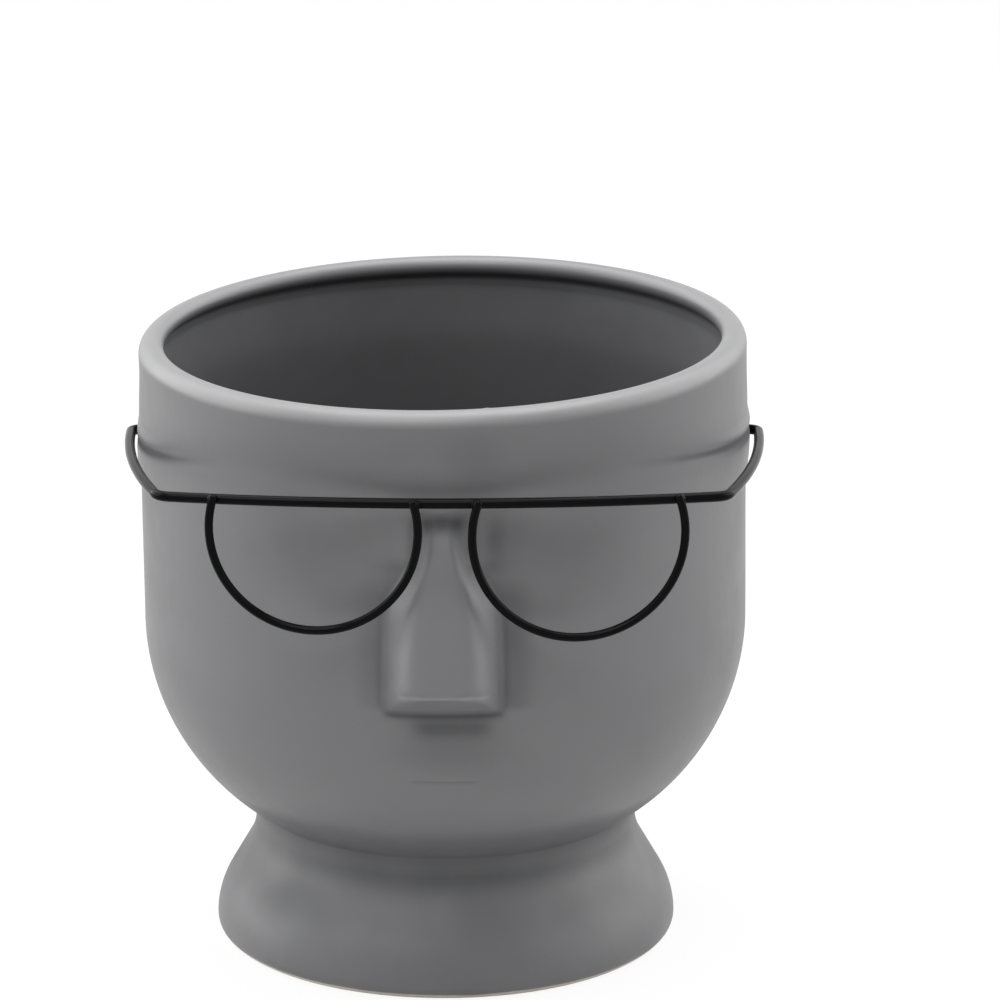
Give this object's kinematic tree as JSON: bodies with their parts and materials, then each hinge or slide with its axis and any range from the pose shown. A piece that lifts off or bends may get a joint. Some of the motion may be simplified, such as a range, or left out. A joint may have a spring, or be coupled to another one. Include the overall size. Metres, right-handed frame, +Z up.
{
  "type": "head-shaped plant pot with wire spectacles",
  "caption": "Glazed ceramic plant pot in the shape of a plain abstract head on a flared foot, with hinged wire spectacles and a drain stopper.",
  "frame": {"origin": "centre of the foot ring, on the surface that the pot stands on", "axes": "+Z up along the pot's axis; the face looks along -Y; +X to the right seen from the front"},
  "size_m": [0.189, 0.1958, 0.1876],
  "materials": {
    "grey_glaze": "satin grey glaze over stoneware",
    "black_wire": "black powder coat on steel wire",
    "stopper_silicone": "soft dark grey silicone"
  },
  "bodies": {
    "pot": {"head_pot": "grey_glaze"},
    "spectacles": {"brow_wire": "black_wire", "left_lens_rim": "black_wire", "right_lens_rim": "black_wire", "weld_beads": "black_wire"},
    "stopper": {"drain_plug": "stopper_silicone"}
  },
  "joints": [
    {"name": "spectacles_swing", "type": "hinge", "parent": "pot", "child": "spectacles", "pos_m": [0, 0, 0.15551], "axis": [-1, 0, 0], "range_deg": [0, 190]},
    {"name": "stopper_pull", "type": "slide", "parent": "pot", "child": "stopper", "axis": [0, 0, 1], "range_m": [0, 0.012]}
  ]
}
